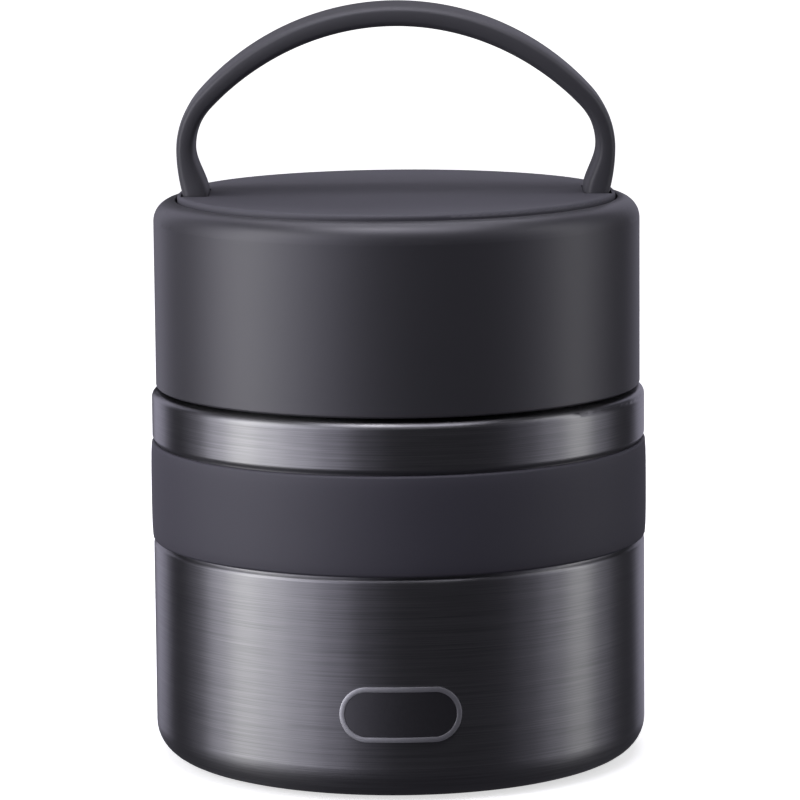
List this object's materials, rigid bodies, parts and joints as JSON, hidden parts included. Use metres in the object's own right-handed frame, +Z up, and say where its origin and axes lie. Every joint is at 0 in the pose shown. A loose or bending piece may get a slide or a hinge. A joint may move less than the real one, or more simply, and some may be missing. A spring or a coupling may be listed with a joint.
{
  "type": "insulated food jar",
  "caption": "Wide-mouth double-walled steel food jar with a rubber grip band and an insulated screw lid that carries an arched strap handle.",
  "frame": {"origin": "centre of the base, on the surface the jar stands on", "axes": "+Z up along the jar's axis; the carry handle's arch lies in the XZ plane; -Y is the front"},
  "size_m": [0.1006, 0.1006, 0.1528],
  "materials": {
    "brushed_body": "satin, brushed round the body, dark tinted",
    "vessel_steel": "satin",
    "foil": "bright foil",
    "getter_metal": "sintered",
    "solder_glass": "opaque solder glass",
    "base_rubber": "matte",
    "band_rubber": "matte, fine grain",
    "badge_metal": "dark anodised, bright rim",
    "lid_plastic": "satin, fine grain",
    "disc_plastic": "matte",
    "loop_plastic": "matte, fine grain",
    "liner_plastic": "smooth",
    "foam": "rigid foam",
    "screw_steel": "zinc plated",
    "gasket_silicone": "translucent silicone"
  },
  "bodies": {
    "jar": {"outer_shell": "brushed_body", "shell_bottom": "brushed_body", "inner_vessel": "vessel_steel", "radiation_foil": "foil", "getter": "getter_metal", "getter_strap": "vessel_steel", "vacuum_seal": "solder_glass", "base_cover": "vessel_steel", "base_pad": "base_rubber", "grip_band": "band_rubber", "front_badge": "badge_metal"},
    "lid_seal": {"lid_gasket": "gasket_silicone"},
    "lid": {"lid_shell": "lid_plastic", "lid_liner": "liner_plastic", "lid_insulation": "foam", "top_disc": "disc_plastic", "carry_handle": "loop_plastic", "handle_screws": "screw_steel"}
  },
  "joints": [
    {"name": "lid_rise", "type": "slide", "parent": "jar", "child": "lid_seal", "axis": [0, 0, 1], "range_m": [0, 0.024]},
    {"name": "lid_turn", "type": "hinge", "parent": "lid_seal", "child": "lid", "pos_m": [0, 0, 0.0973], "axis": [0, 0, 1], "range_deg": [0, 720]}
  ],
  "couplings": [
    {"joint": "lid_rise", "follows": "lid_turn", "m_per_rad": 0.0019099}
  ]
}
